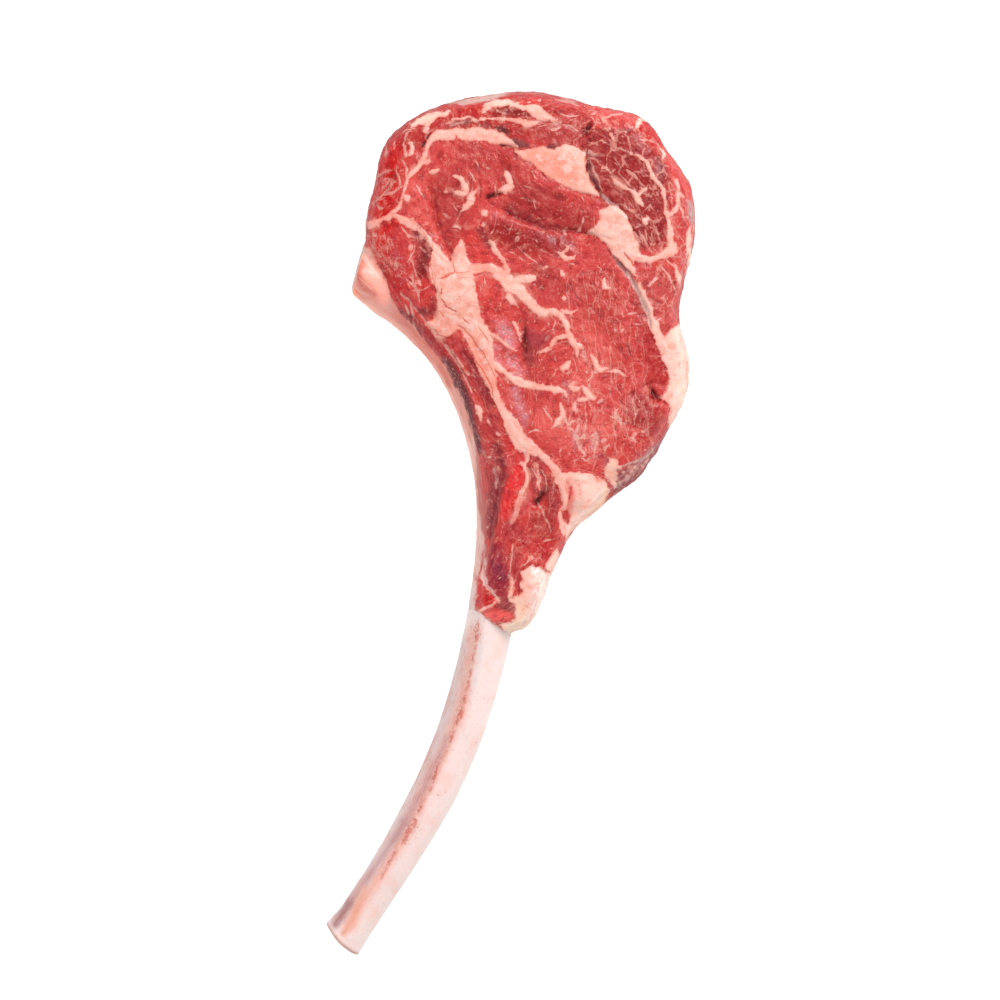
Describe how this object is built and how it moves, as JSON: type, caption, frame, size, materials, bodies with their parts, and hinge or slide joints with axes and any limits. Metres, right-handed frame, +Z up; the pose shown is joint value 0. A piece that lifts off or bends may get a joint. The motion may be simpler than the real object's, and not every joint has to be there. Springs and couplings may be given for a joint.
{
  "type": "raw rib steak",
  "caption": "Raw bone-in rib steak lying on its cut face, with a long curved cleaned rib and fat seams between the muscles.",
  "frame": {"origin": "middle of the bounding box, at the level of the lower cut face that the steak rests on", "axes": "+Y from the free end of the rib to the far edge of the meat, +X towards the outer side of the meat, +Z up out of the shown cut face"},
  "size_m": [0.1602, 0.3778, 0.0476],
  "materials": {
    "bone": "fresh scraped rib bone, cream and pink, with red streaks along its ridge",
    "eye_lean": "raw beef muscle, moist, bright red with fine pale marbling",
    "cap_lean": "raw beef muscle, moist, red with coarse grain",
    "dark_lean": "raw beef muscle, moist, dark red to purple",
    "fat": "raw beef fat, pale salmon, soft and slightly lumpy"
  },
  "bodies": {
    "root": {"rib_bone": "bone", "eye_muscle": "eye_lean", "cap_muscle": "cap_lean", "chine_muscle": "dark_lean", "rib_lean": "dark_lean", "seam_fat": "fat", "cap_fat": "fat", "side_fat": "fat", "tail_fat": "fat"}
  },
  "joints": []
}
